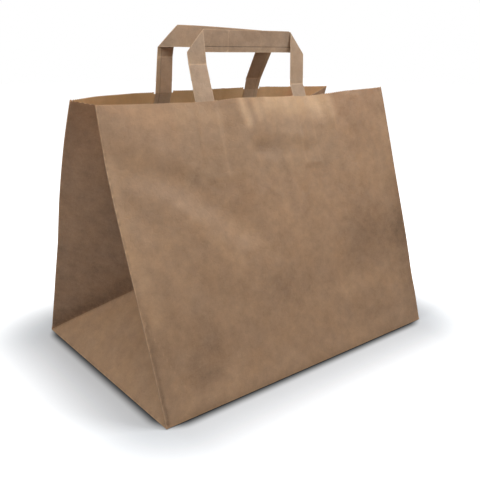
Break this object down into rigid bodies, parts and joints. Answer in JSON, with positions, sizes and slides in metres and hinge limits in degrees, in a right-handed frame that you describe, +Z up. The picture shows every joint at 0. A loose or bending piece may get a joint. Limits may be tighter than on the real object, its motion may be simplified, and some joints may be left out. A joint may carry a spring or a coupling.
{
  "type": "paper carrier bag",
  "caption": "Brown kraft paper carrier bag standing open, with gusseted sides, a wide flat block bottom and flat folded-paper handles glued inside the mouth.",
  "frame": {"origin": "middle of the bag's footprint on the ground it stands on", "axes": "+X along the wide panels, to the right seen from the front; +Y from the front panel to the back panel; +Z up, towards the handles"},
  "size_m": [0.3208, 0.2206, 0.2951],
  "materials": {
    "kraft_sheet": "unbleached machine-finished kraft paper, matt, faintly creased",
    "kraft_tape": "folded three-ply kraft tape, matt",
    "kraft_patch": "unbleached kraft paper, matt, glued down"
  },
  "bodies": {
    "root": {"bag_body": "kraft_sheet", "front_handle": "kraft_tape", "back_handle": "kraft_tape", "front_handle_patch": "kraft_patch", "back_handle_patch": "kraft_patch"}
  },
  "joints": []
}
